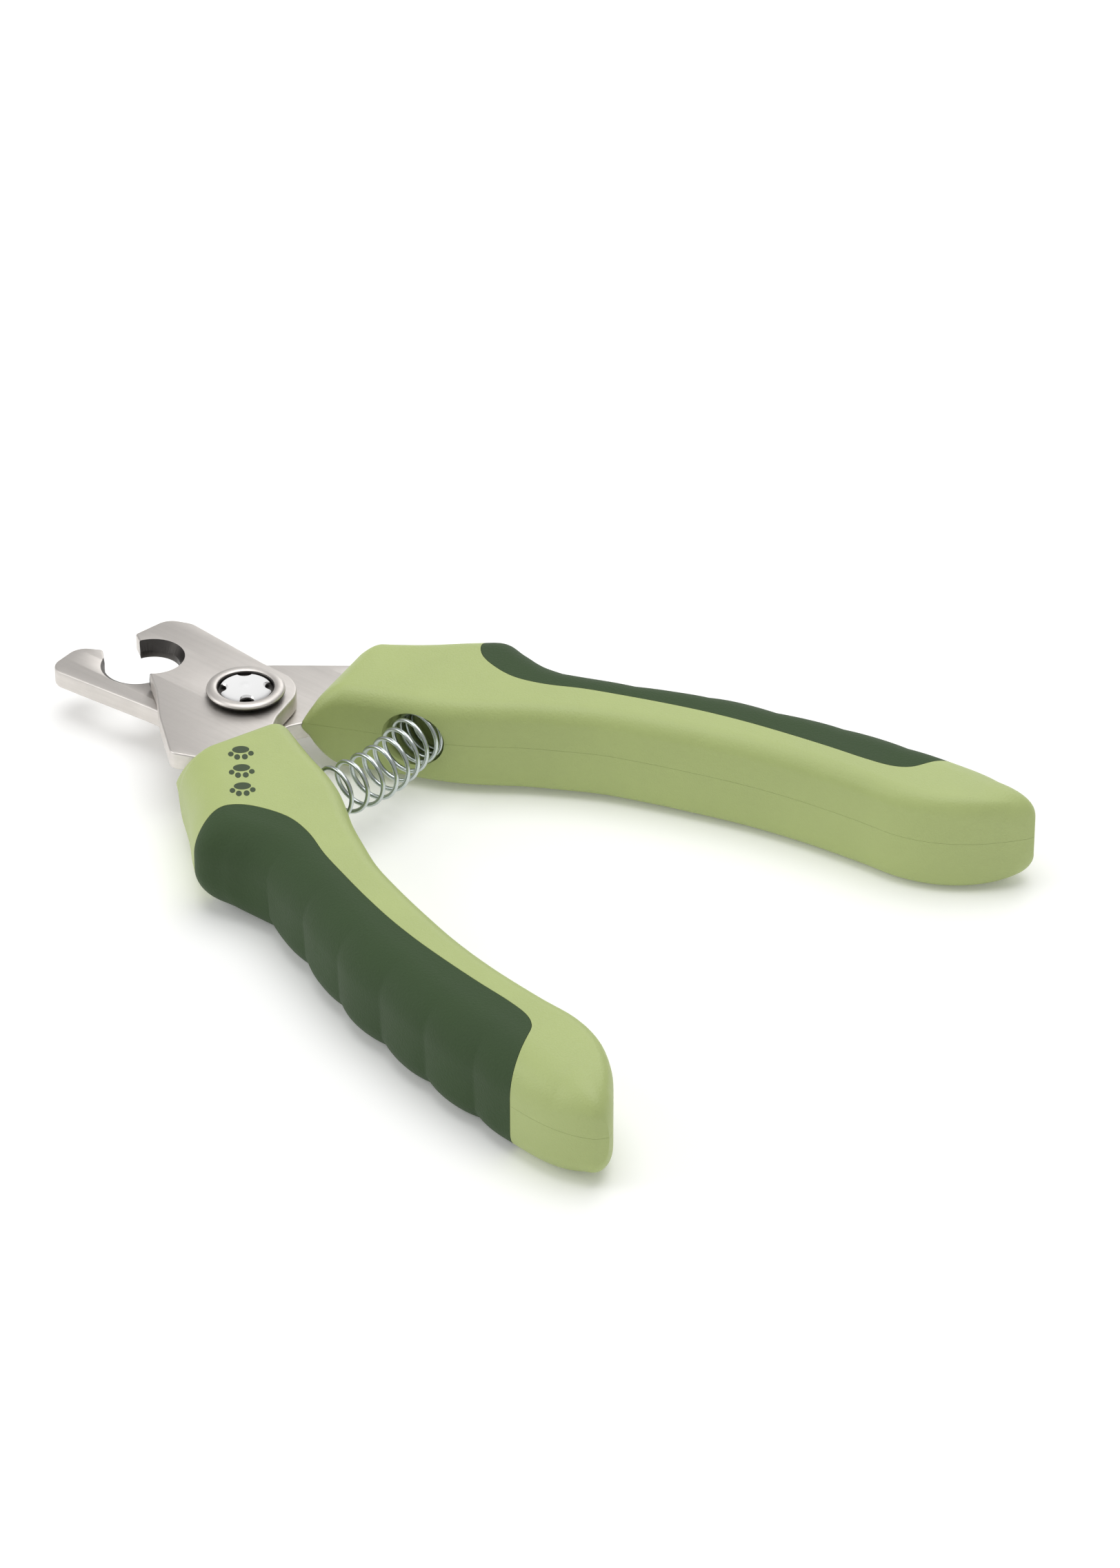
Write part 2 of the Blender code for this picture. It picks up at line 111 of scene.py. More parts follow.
table_top, shader, _ = new_material("white_table_top", 0.75)
shader.inputs["Base Color"].default_value = (*TABLE_TONE, 1.0)
shader.inputs["Emission Color"].default_value = (1.0, 1.0, 1.0, 1.0)
shader.inputs["Emission Strength"].default_value = TABLE_GLOW
mesh = bpy.data.meshes.new("table_top")
half = TABLE_SIZE / 2
mesh.from_pydata(
    [(x, y, -TABLE_DROP) for x, y in ((-half, -half), (half, -half), (half, half), (-half, half))],
    [],
    [(0, 1, 2, 3)],
)
mesh.materials.append(table_top)
floor = link("table_top", mesh)

for name, place, aim, size, watts, reflected in LAMPS:
    lamp_data = bpy.data.lights.new(name, "AREA")
    lamp_data.shape = "DISK"
    lamp_data.size = size
    lamp_data.energy = watts
    lamp_data.specular_factor = reflected
    link(name, lamp_data).matrix_world = aimed(place, aim)

bpy.context.scene.view_settings.view_transform = "Standard"
sky = bpy.data.worlds.new("white_sky")
sky.use_nodes = True
sky.node_tree.nodes["Background"].inputs["Color"].default_value = (1.0, 1.0, 1.0, 1.0)
sky.node_tree.nodes["Background"].inputs["Strength"].default_value = SKY_STRENGTH
bpy.context.scene.world = sky

# ----------------------------------------------------------
# Blades. Two steel blanks, stamped, rounded by tumbling and satin ground along their length. Each
# has a nail notch with a hollow ground edge, and a tang that runs back into its handle.
# ----------------------------------------------------------
MID_Z = 8.4  # plane between the blades
BLADE_GAP = 0.3
BLADE_T = 2.8
BLADE_EDGE = 0.28  # rounding of the blanks' edges
PIVOT_HOLE_R = 3.5
LOWER_NOTCH = (-21.4, -0.8, 5.0)
UPPER_NOTCH = (-17.9, -1.1, 4.1)
GRIND_WIDTH = 0.8
GRIND_DEPTH = 1.5
LOWER_GRIND_WIDTH = 0.5
LOWER_GRIND_DEPTH = 0.25
SHADE_PAST_RIM = 0.05  # how far past its rim the painted shade of a grind reaches
FLAT_NORMAL = 0.985  # a face whose normal rises more than this is part of the flat side
TANG = (
    (7.6, 1.6, 4.5),
    (12.0, 9.5, 2.0),
    (16.0, 13.4, 3.0),
    (21.3, 18.0, 3.0),
    (36.0, 21.8, 8.0),
    (48.0, 28.2, 10.0),
    (61.0, 32.3, 2.0),
    (61.5, 37.6, 2.0),
    (47.0, 33.6, 8.0),
    (34.0, 28.6, 8.0),
    (20.0, 28.2, 3.0),
    (6.3, 17.2, 0.4),
)
LOWER_JAW = (
    (3.4, 20.0, 0.6),
    (-5.6, 12.6, 3.0),
    (-11.5, 7.0, 3.0),
    (-16.5, 1.2, 1.0),
    (-25.2, -3.8, 0.5),
    (-28.4, -0.9, 0.4),
    (-31.8, -2.8, 3.0),
    (-31.2, -10.0, 2.6),
    (-12.0, -8.4, 15.0),
    (4.9, -8.0, 6.5),
)
UPPER_JAW = (
    (2.2, -18.9, 1.6),
    (-5.6, -12.8, 3.0),
    (-11.0, -7.7, 2.0),
    (-14.7, -5.0, 0.5),
    (-22.3, 0.8, 0.4),
    (-24.2, 2.0, 0.5),
    (-23.4, 8.2, 3.0),
    (-19.6, 9.7, 3.0),
    (-4.0, 8.2, 10.0),
    (4.9, 8.0, 6.5),
)
STEEL_TONE = (0.70, 0.665, 0.63)
# Painted shade: a near black steel tone for notch walls, the screw's driver notches and the cup
# washer's bore and undercut, standing in for their shade and dark reflections.
PAINTED_SHADE_TONE = (0.10, 0.095, 0.09)


def rounded(corners, step=radians(5)):
    """The outline through the corners, each turned by an arc of its own radius."""
    points = []
    for i, (x, y, radius) in enumerate(corners):
        here = Vector((x, y))
        back = (Vector(corners[i - 1][:2]) - here).normalized()
        onward = (Vector(corners[(i + 1) % len(corners)][:2]) - here).normalized()
        bend = back.angle(onward) / 2
        centre = here + (back + onward).normalized() * radius / sin(bend)
        start = here + back * radius / tan(bend) - centre
        turn = (pi - 2 * bend) * (1 if back.cross(onward) < 0 else -1)
        count = max(2, round(abs(turn) / step))
        for k in range(count + 1):
            points.append(centre + Matrix.Rotation(turn * k / count, 2) @ start)
    return points


def crossing(start, end, centre, radius):
    """Share of the way from start to end at which the line meets the circle."""
    along, base = end - start, start - centre
    a, b, c = along.dot(along), 2 * base.dot(along), base.dot(base) - radius * radius
    root = sqrt(b * b - 4 * a * c)
    for share in ((-b - root) / (2 * a), (-b + root) / (2 * a)):
        if 0 <= share <= 1:
            return start + along * share
    return start


def winding(points):
    """Positive when the outline runs counterclockwise."""
    return sum(points[i - 1].cross(points[i]) for i in range(len(points)))


def bitten(points, notch, steps=40):
    """The outline with a round notch taken out of it."""
    centre, radius = Vector(notch[:2]), notch[2]
    pieces = [(points[i - 1], points[i]) for i in range(len(points))]
    points = []
    for a, b in pieces:  # a long side gets points of its own, for the notch to take out
        count = 20 if (b - a).length > 2 else 1
        points += [a.lerp(b, k / count) for k in range(count)]
    kept = [(p - centre).length > radius for p in points]
    first = next(i for i in range(len(points)) if kept[i - 1] and not kept[i])
    points, kept = points[first:] + points[:first], kept[first:] + kept[:first]
    back = kept.index(True)
    enter = crossing(points[-1], points[0], centre, radius) - centre
    leave = crossing(points[back - 1], points[back], centre, radius) - centre
    start, end = atan2(enter.y, enter.x), atan2(leave.y, leave.x)
    left = winding(points) > 0
    turn = (start - end) % (2 * pi) if left else -((end - start) % (2 * pi))
    arc = [centre + Matrix.Rotation(-turn * k / steps, 2) @ enter for k in range(steps + 1)]
    return arc + points[back:]


def baked(made):
    """The object with its modifiers applied, as a plain mesh under its own name."""
    graph = bpy.context.evaluated_depsgraph_get()
    mesh = bpy.data.meshes.new_from_object(made.evaluated_get(graph))
    name, old = made.name, made.data
    bpy.data.objects.remove(made)
    if isinstance(old, bpy.types.Curve):
        bpy.data.curves.remove(old)
    mesh.name = name
    return link(name, mesh)


def welded(mesh, distance=2e-6):
    """Merges the mesh's doubles and turns its faces outwards."""
    bm = bmesh.new()
    bm.from_mesh(mesh)
    bmesh.ops.remove_doubles(bm, verts=bm.verts, dist=distance)
    bmesh.ops.dissolve_degenerate(bm, edges=bm.edges, dist=distance / 4)
    bmesh.ops.recalc_face_normals(bm, faces=bm.faces)
    bm.to_mesh(mesh)
    bm.free()


def carve(part, *cutters, operation="DIFFERENCE"):
    """Cuts the cutters out of the part, and removes them."""
    for cutter in cutters:
        modifier = part.modifiers.new(cutter.name, "BOOLEAN")
        modifier.operation = operation
        modifier.solver = "MANIFOLD"
        modifier.object = cutter
    made = baked(part)
    for cutter in cutters:
        bpy.data.objects.remove(cutter)
    return made


def plate(name, outlines, low, high, edge):
    """A flat plate with rounded edges. The first outline is its rim and the others are holes."""
    curve = bpy.data.curves.new(name, "CURVE")
    curve.dimensions = "2D"
    curve.fill_mode = "BOTH"
    curve.extrude = ((high - low) / 2 - edge) * MM
    curve.bevel_depth = edge * MM
    curve.offset = -edge * MM
    curve.bevel_resolution = 3
    for outline in outlines:
        spline = curve.splines.new("POLY")
        spline.points.add(len(outline) - 1)
        for point, (x, y) in zip(spline.points, outline):
            point.co = (x * MM, y * MM, 0, 1)
        spline.use_cyclic_u = True
    made = baked(link(name, curve))
    made.data.transform(Matrix.Translation((0, 0, (low + high) / 2 * MM)))
    welded(made.data)
    return made


def circle(x, y, radius, sides=96):
    return [
        Vector((x + radius * cos(2 * pi * k / sides), y + radius * sin(2 * pi * k / sides)))
        for k in range(sides)
    ]


def finished_mesh(name, bm):
    """The mesh as an object, with its faces turned outwards."""
    bmesh.ops.recalc_face_normals(bm, faces=bm.faces)
    mesh = bpy.data.meshes.new(name)
    bm.to_mesh(mesh)
    bm.free()
    return link(name, mesh)


def skinned(bm, before, after):
    """Faces between two rings of points. A ring may be a single point."""
    for k in range(max(len(before), len(after))):
        face = [before[k % len(before)], before[(k + 1) % len(before)]]
        face += [after[(k + 1) % len(after)], after[k % len(after)]]
        face = list(dict.fromkeys(face))
        if len(face) > 2:
            bm.faces.new(face)


def turned(name, profile, sides=128, centre=(0, 0)):
    """A solid of revolution. Its profile is a closed loop, or runs from axis to axis."""
    bm = bmesh.new()
    rings = []
    for radius, z in profile:
        ring = []
        for k in range(sides if radius else 1):
            x = centre[0] + radius * cos(2 * pi * k / sides)
            y = centre[1] + radius * sin(2 * pi * k / sides)
            ring.append(bm.verts.new((x * MM, y * MM, z * MM)))
        rings.append(ring)
    pairs = list(zip(rings, rings[1:]))
    if len(rings[0]) > 1:
        pairs.append((rings[-1], rings[0]))
    for before, after in pairs:
        skinned(bm, before, after)
    return finished_mesh(name, bm)


def smooth_shaded(part, angle=radians(30)):
    part.data.shade_smooth()
    part.data.set_sharp_from_angle(angle=angle)


def new_group(name, tree_type, inputs, outputs):
    """An empty node group. An input is given by its default, or by its kind where it has none."""
    group = bpy.data.node_groups.new(name, tree_type)
    for label, given in inputs:
        kind = {float: "Float", int: "Int"}.get(type(given), given)
        socket = group.interface.new_socket(label, in_out="INPUT", socket_type=f"NodeSocket{kind}")
        if kind != given:
            socket.default_value = given
    for label, kind in outputs:
        group.interface.new_socket(label, in_out="OUTPUT", socket_type=f"NodeSocket{kind}")
    return group, group.nodes.new("NodeGroupInput"), group.nodes.new("NodeGroupOutput")


def math_node(tree, operation, a, b=None, c=None, clamp=False):
    """A Math node fed with sockets or numbers. Returns its output."""
    node = tree.nodes.new("ShaderNodeMath")
    node.operation = operation
    node.use_clamp = clamp
    for socket, value in zip(node.inputs, (a, b, c)):
        if isinstance(value, bpy.types.NodeSocket):
            tree.links.new(value, socket)
        elif value is not None:
            socket.default_value = value
    return node.outputs[0]


def noise_node(tree, vector, scale, detail=2.0, roughness=0.5):
    node = tree.nodes.new("ShaderNodeTexNoise")
    tree.links.new(vector, node.inputs["Vector"])
    if isinstance(scale, bpy.types.NodeSocket):
        tree.links.new(scale, node.inputs["Scale"])
    else:
        node.inputs["Scale"].default_value = scale
    node.inputs["Detail"].default_value = detail
    node.inputs["Roughness"].default_value = roughness
    return node.outputs["Fac"]


# Ground lines: long fine scratches along one direction of the piece, as a height and a tone.
ground_lines, start, end = new_group(
    "ground_lines",
    "ShaderNodeTree",
    (("Lines per m", 9000.0), ("Stretch", 0.02)),
    (("Height", "Float"), ("Tone", "Float")),
)
here = ground_lines.nodes.new("ShaderNodeTexCoord").outputs["Object"]
squeeze = ground_lines.nodes.new("ShaderNodeCombineXYZ")
ground_lines.links.new(start.outputs["Stretch"], squeeze.inputs["X"])
squeeze.inputs["Y"].default_value = squeeze.inputs["Z"].default_value = 1.0
drawn_out = ground_lines.nodes.new("ShaderNodeVectorMath")
drawn_out.operation = "MULTIPLY"
ground_lines.links.new(here, drawn_out.inputs[0])
ground_lines.links.new(squeeze.outputs[0], drawn_out.inputs[1])
fine = noise_node(ground_lines, drawn_out.outputs[0], start.outputs["Lines per m"], 3.0, 0.6)
coarse_scale = math_node(ground_lines, "MULTIPLY", start.outputs["Lines per m"], 0.16)
coarse = noise_node(ground_lines, drawn_out.outputs[0], coarse_scale, 2.0)
ground_lines.links.new(fine, end.inputs["Height"])
both_lines = math_node(ground_lines, "MULTIPLY_ADD", fine, 0.4, coarse)
ground_lines.links.new(both_lines, end.inputs["Tone"])

# Handling marks: cloudy patches where a surface has been touched, as a mask about 0.5.
handling_marks, start, end = new_group(
    "handling_marks", "ShaderNodeTree", (("Patches per m", 90.0),), (("Mask", "Float"),)
)
here = handling_marks.nodes.new("ShaderNodeTexCoord").outputs["Object"]
cloud = noise_node(handling_marks, here, start.outputs["Patches per m"], 5.0, 0.62)
handling_marks.links.new(cloud, end.inputs["Mask"])


def use_group(tree, group, **values):
    node = tree.nodes.new("ShaderNodeGroup")
    node.node_tree = group
    for label, value in values.items():
        node.inputs[label.replace("_", " ")].default_value = value
    return node


def tone_mix(tree, mask, low, high):
    """A colour that runs from low to high with the mask."""
    node = tree.nodes.new("ShaderNodeMix")
    node.data_type = "RGBA"
    tree.links.new(mask, node.inputs["Factor"])
    for socket, colour in ((node.inputs[6], low), (node.inputs[7], high)):
        if isinstance(colour, bpy.types.NodeSocket):
            tree.links.new(colour, socket)
        else:
            socket.default_value = (*colour, 1.0)
    return node.outputs[2]


def map_range(tree, value, low, high, to_low, to_high):
    node = tree.nodes.new("ShaderNodeMapRange")
    tree.links.new(value, node.inputs["Value"])
    labels = ("From Min", "From Max", "To Min", "To Max")
    for label, number in zip(labels, (low, high, to_low, to_high)):
        node.inputs[label].default_value = number
    return node.outputs["Result"]


def bump_into(tree, shader, height, distance, strength=1.0):
    node = tree.nodes.new("ShaderNodeBump")
    node.inputs["Distance"].default_value = distance
    node.inputs["Strength"].default_value = strength
    tree.links.new(height, node.inputs["Height"])
    tree.links.new(node.outputs["Normal"], shader.inputs["Normal"])


def steel(name, tone, roughness, lines, depth):
    """Bare steel with ground lines and handling marks."""
    made, shader, tree = new_material(name, roughness, 1.0)
    scratches = use_group(tree, ground_lines, Lines_per_m=lines)
    marks = use_group(tree, handling_marks, Patches_per_m=120.0)
    both = math_node(tree, "MULTIPLY_ADD", scratches.outputs["Tone"], 0.5, marks.outputs["Mask"])
    shade = map_range(tree, both, 0.6, 1.2, 0.0, 1.0)
    dark = tuple(0.90 * c for c in tone)
    light = tuple(min(1.0, 1.06 * c) for c in tone)
    tree.links.new(tone_mix(tree, shade, dark, light), shader.inputs["Base Color"])
    rough = map_range(tree, both, 0.6, 1.2, roughness + 0.05, roughness - 0.05)
    tree.links.new(rough, shader.inputs["Roughness"])
    bump_into(tree, shader, scratches.outputs["Height"], depth)
    return made


satin_steel = steel("satin_ground_steel", STEEL_TONE, 0.42, 9000.0, 0.000012)
# A steel that carries painted shade and painted dark reflections.
painted_shade_steel = steel("dark_hollow_ground_steel", PAINTED_SHADE_TONE, 0.38, 14000.0, 0.000008)


def blade(name, jaw, notch, side, low, width, depth):
    """A blade with its pivot hole, and its nail notch ground hollow from the upper face."""
    corners = [(x, y * side, r) for x, y, r in TANG] + list(jaw)
    rim = bitten(rounded(corners), notch)
    high = low + BLADE_T
    made = plate(name, [rim, circle(0, 0, PIVOT_HOLE_R)], low, high, BLADE_EDGE)
    made.data.materials.append(satin_steel)
    made.data.materials.append(painted_shade_steel)
    x, y, radius = notch
    grind = turned(
        "hollow_grind",
        (
            (0, high - depth),
            (radius, high - depth),
            (radius + width, high),
            (radius + 2 * width, high + depth),
            (0, high + depth),
        ),
        centre=(x, y),
    )
    made = carve(made, grind)
    # Painted shade: the notch's walls and its hollow grind get the near black steel, standing in
    # for the shade and dark reflections in the notch.
    reach = radius + width + SHADE_PAST_RIM
    for face in made.data.polygons:
        away = (Vector(face.center[:2]) - Vector((x, y)) * MM).length
        sloped = abs(face.normal.z) < FLAT_NORMAL
        face.material_index = int(away < reach * MM and (sloped or away < radius * MM))
    return made


lower_low = MID_Z - BLADE_GAP / 2 - BLADE_T
upper_low = MID_Z + BLADE_GAP / 2
upper_high = upper_low + BLADE_T
lower_blade = blade(
    "lower_hook_blade",
    LOWER_JAW,
    LOWER_NOTCH,
    1,
    lower_low,
    LOWER_GRIND_WIDTH,
    LOWER_GRIND_DEPTH,
)
upper_blade = blade(
    "upper_blade_steel", UPPER_JAW, UPPER_NOTCH, -1, upper_low, GRIND_WIDTH, GRIND_DEPTH
)
for part, node, body in (
    (lower_blade, "lower_blade", "far_half"),
    (upper_blade, "upper_blade", "near_half"),
):
    smooth_shaded(part)
    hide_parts(node)
    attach(part, body)

# ----------------------------------------------------------
# Pivot. A domed screw with four driver notches sits in a cup washer on the upper blade, and turns
# into a hexagonal barrel nut below. The screw is polished and the ring is satin. Painted shade
# darkens the screw's driver notches and the ring's bore, and painted shadow its undercut.
# The nut and the back washer are plain steel.
# ----------------------------------------------------------
CUP_R = 5.9
CUP_FOOT_R = 5.35
CUP_BORE_R = 4.3
SCREW_HEAD_R = 4.0
SCREW_SHANK_R = 2.2
NOTCH_R = 1.1
NOTCH_PLACE_R = SCREW_HEAD_R - 0.05
NOTCH_TURN = 45  # degrees from +X to the first driver notch
PAINTED_SHADOW_TOP = 0.72  # painted shadow covers the ring's outer side up to this height over its foot
NUT_ACROSS_FLATS = 10.0
NUT_H = 4.4
BARREL_R = 3.2
BACK_WASHER_R = 6.2
BACK_WASHER_T = 0.45
POLISHED_TONE = (0.86, 0.85, 0.84)
PLAIN_TONE = (0.50, 0.49, 0.48)

polished_steel = steel("polished_pivot_steel", POLISHED_TONE, 0.16, 16000.0, 0.000003)
worn_steel = steel("plain_nut_steel", PLAIN_TONE, 0.36, 7000.0, 0.000010)

cup_low = upper_high + BLADE_GAP
cup_washer = turned(
    "screw_cup_ring",
    (
        (CUP_BORE_R - 0.10, cup_low + 0.95),
        (CUP_BORE_R + 0.02, cup_low + 1.10),
        (CUP_BORE_R + 0.20, cup_low + 1.20),
        (CUP_BORE_R + 0.45, cup_low + 1.25),
        (CUP_R - 0.75, cup_low + 1.24),
        (CUP_R - 0.40, cup_low + 1.16),
        (CUP_R - 0.14, cup_low + 0.98),
        (CUP_R - 0.02, cup_low + 0.76),
        (CUP_R, cup_low + 0.62),
        (CUP_R - 0.12, cup_low + 0.46),
        (CUP_FOOT_R, cup_low + 0.04),
        (CUP_FOOT_R - 0.1, cup_low),
        (SCREW_SHANK_R + 0.3, cup_low),
        (SCREW_SHANK_R + 0.3, cup_low + 0.35),
        (CUP_BORE_R - 0.20, cup_low + 0.35),
        (CUP_BORE_R - 0.12, cup_low + 0.45),
    ),
)
cup_washer.data.materials.append(satin_steel)
cup_washer.data.materials.append(painted_shade_steel)
# Painted shadow and shade: the ring's undercut and its bore get the near black steel, where the
# shadow under the rim and the shade beside the screw head fall.
for face in cup_washer.data.polygons:
    out = Vector(face.center[:2]).length
    under = out > (CUP_FOOT_R - 0.2) * MM and face.center.z < (cup_low + PAINTED_SHADOW_TOP) * MM
    face.material_index = int(under or out < (CUP_BORE_R + 0.1) * MM)

head_low = cup_low + 0.65
pivot_screw = turned(
    "domed_pivot_screw",
    (
        (0, head_low + 0.60),
        (0.30, head_low + 0.605),
        (0.55, head_low + 0.66),
        (0.75, head_low + 0.745),
        (1.20, head_low + 0.75),
        (2.00, head_low + 0.70),
        (2.80, head_low + 0.60),
        (3.30, head_low + 0.50),
        (SCREW_HEAD_R - 0.38, head_low + 0.38),
        (SCREW_HEAD_R - 0.20, head_low + 0.24),
        (SCREW_HEAD_R - 0.10, head_low + 0.06),
        (SCREW_HEAD_R - 0.14, head_low),
        (SCREW_SHANK_R, head_low),
        (SCREW_SHANK_R, NUT_H),
        (0, NUT_H),
    ),
)
driver_notches = []
notch_places = []
for number in range(4):
    angle = radians(NOTCH_TURN + 90 * number)
    place = (cos(angle) * NOTCH_PLACE_R, sin(angle) * NOTCH_PLACE_R)
    notch_places.append(Vector(place) * MM)
    driver_notches.append(
        turned(
            f"driver_notch_{number}",
            (
                (0, head_low - 0.05),
                (NOTCH_R, head_low - 0.05),
                (NOTCH_R, head_low + 0.3),
                (NOTCH_R + 0.4, head_low + 0.8),
                (0, head_low + 0.8),
            ),
            32,
            place,
        )
    )
pivot_screw = carve(pivot_screw, *driver_notches)
pivot_screw.data.materials.append(polished_steel)
pivot_screw.data.materials.append(painted_shade_steel)
# Painted shade: the driver notches in the screw head get the near black steel, standing in for the
# shade inside them.
for face in pivot_screw.data.polygons:
    away = min((Vector(face.center[:2]) - place).length for place in notch_places)
    in_head = face.center.z > (head_low - 0.1) * MM
    face.material_index = int(in_head and away < (NOTCH_R + 0.1) * MM)

corner_r = NUT_ACROSS_FLATS / 2 / cos(pi / 6)
hexagon = [
    Vector((corner_r * cos(pi / 3 * k), corner_r * sin(pi / 3 * k))) for k in range(6)
]
pivot_nut = plate("hexagon_barrel_nut", [hexagon], 0, NUT_H, 0.12)
chamfer = turned(
    "nut_chamfer",
    (
        (0, 0),
        (NUT_ACROSS_FLATS / 2 - 0.25, 0),
        (corner_r + 0.1, 0.55),
        (corner_r + 0.1, NUT_H - 0.3),
        (NUT_ACROSS_FLATS / 2, NUT_H),
        (0, NUT_H),
    ),
)
pivot_nut = carve(pivot_nut, chamfer, operation="INTERSECT")
pivot_nut = carve(
    pivot_nut,
    turned(
        "nut_barrel",
        (
            (SCREW_SHANK_R + 0.05, NUT_H - 0.4),
            (BARREL_R, NUT_H - 0.4),
            (BARREL_R, upper_high - 0.6),
            (BARREL_R - 0.2, upper_high - 0.4),
            (SCREW_SHANK_R + 0.05, upper_high - 0.4),
        ),
    ),
    operation="UNION",
)
pivot_nut.data.materials.append(worn_steel)

washer_low = NUT_H + BLADE_GAP
back_washer = turned(
    "thin_back_washer",
    (
        (PIVOT_HOLE_R, washer_low + 0.06),
        (PIVOT_HOLE_R, washer_low + BACK_WASHER_T - 0.06),
        (PIVOT_HOLE_R + 0.06, washer_low + BACK_WASHER_T),
        (BACK_WASHER_R - 0.1, washer_low + BACK_WASHER_T),
        (BACK_WASHER_R, washer_low + BACK_WASHER_T - 0.1),
        (BACK_WASHER_R, washer_low + 0.1),
        (BACK_WASHER_R - 0.1, washer_low),
        (PIVOT_HOLE_R + 0.06, washer_low),
    ),
)
back_washer.data.materials.append(worn_steel)
for part, node in (
    (cup_washer, "pivot_cup_washer"),
    (pivot_screw, "pivot_screw"),
    (pivot_nut, "pivot_nut"),
    (back_washer, "back_washer"),
):
    smooth_shaded(part)
    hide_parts(node)
    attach(part, "near_half")

# ----------------------------------------------------------
# Handle shells. Each handle is two light green moulded halves over the tang. They meet in a fine
# parting line at half thickness, and thin to a nose beside the pivot. The bed for the grip, the
# tang's slot and the spring's seat are sunk into them.
# ----------------------------------------------------------
HANDLE_Z = 7.8
NECK_HALF_T = 7.1
END_HALF_T = 7.8
FULL_SHARE = 0.7
END_FALL = 0.985
END_START = 12
NOSE_DROP = 6.6  # how much thinner each side of the nose gets, over NOSE_SPAN stations
NOSE_SPAN = 0.5
NOSE_POWER = 1.6
INNER_ROUND = 2.8
OUTER_TOP_ROUND = 6.0
OUTER_LOW_ROUND = 4.0
HORN_LOW_ROUND = 6.4  # the outer lower rounding is larger at the horn behind the front
HORN_AT = 3.0  # station of the horn, and how many stations it fades over
HORN_REACH = 2.2
MOST_ROUND_SHARE = 0.46  # most that a corner's rounding may take of the handle's width
MOST_ROUND_OF_HALF = 0.98  # and of its half thickness
PARTING = 0.03
STATIONS = (
    ((8.3, 2.8), (4.8, 20.5)),
    ((20.0, 8.3), (12.5, 26.4)),
    ((26.0, 10.8), (18.8, 32.2)),
    ((30.2, 13.0), (22.2, 34.7)),
    ((33.8, 15.5), (26.5, 33.9)),
    ((37.8, 18.5), (31.0, 33.2)),
    ((42.5, 21.4), (36.2, 34.4)),
    ((48.0, 24.5), (42.2, 36.8)),
    ((54.5, 27.1), (49.5, 39.9)),
    ((61.5, 29.5), (57.5, 43.3)),
    ((69.5, 31.9), (66.5, 45.7)),
    ((78.0, 33.7), (76.0, 48.2)),
    ((87.0, 34.9), (86.0, 50.0)),
    ((94.0, 35.5), (94.0, 51.0)),
    ((99.5, 37.4), (100.5, 51.5)),
    ((104.2, 40.7), (105.0, 51.0)),
    ((107.4, 44.2), (108.4, 49.7)),
    ((109.3, 46.8), (109.8, 48.0)),
)
LAST = len(STATIONS) - 1
PLASTIC_TONE = (0.41, 0.485, 0.185)


def smooth(values, t):
    """The point at t along a smooth curve through the values."""
    i = min(int(t), len(values) - 2)
    u = t - i
    before, first, second, after = (
        Vector(values[max(0, min(len(values) - 1, k))]) for k in range(i - 1, i + 3)
    )
    pull = (2 * before - 5 * first + 4 * second - after) * u * u
    bend = (3 * (first - second) + after - before) * u**3
    return (2 * first + (second - before) * u + pull + bend) / 2


class Station:
    """One cross-section of the handle: where it stands, its size and its corner roundings."""

    def __init__(self, t):
        self.inner = smooth([s[0] for s in STATIONS], t)
        self.outer = smooth([s[1] for s in STATIONS], t)
        self.width = (self.outer - self.inner).length
        self.across = (self.outer - self.inner) / self.width
        half = NECK_HALF_T + (END_HALF_T - NECK_HALF_T) * min(1.0, t / LAST / FULL_SHARE)
        into_end = min(1.0, max(0.0, (t - END_START) / (LAST - END_START)))
        nose = max(0.0, 1 - t / NOSE_SPAN)
        self.half = half * sqrt(1 - END_FALL * into_end**4)
        self.half -= NOSE_DROP * nose**NOSE_POWER
        most = min(MOST_ROUND_SHARE * self.width, self.half * MOST_ROUND_OF_HALF)
        horn = max(0.0, 1 - abs(t - HORN_AT) / HORN_REACH)
        horn = horn * horn * (3 - 2 * horn)
        low_round = OUTER_LOW_ROUND + (HORN_LOW_ROUND - OUTER_LOW_ROUND) * horn
        self.r_in = min(INNER_ROUND, most)
        self.r_top = min(OUTER_TOP_ROUND, most)
        self.r_low = min(low_round, most)

    def stand(self, a, z):
        """The point at distance a from the inner side and height z above the middle plane."""
        return Vector((*(self.inner + self.across * a), HANDLE_Z + z)) * MM

    def wrap(self, run, lift, lower):
        """A point of the skin: run goes over the face and down the outer side, lift stands off."""
        r = self.r_low if lower else self.r_top
        flat = self.width - r
        if run <= flat:
            a, z = run, self.half + lift
        elif run <= flat + r * pi / 2:
            turn = (run - flat) / r
            a, z = flat + (r + lift) * sin(turn), self.half - r + (r + lift) * cos(turn)
        else:
            a, z = self.width + lift, self.half - r - (run - flat - r * pi / 2)
        return a, -z if lower else z

    def middle(self, lower):
        """The run at which the skin reaches the middle plane on the outer side."""
        r = self.r_low if lower else self.r_top
        return self.width - r + r * pi / 2 + self.half - r


def arc(centre, radius, start, end, steps):
    for k in range(steps + 1):
        angle = start + (end - start) * k / steps
        yield (centre[0] + radius * cos(angle), centre[1] + radius * sin(angle))


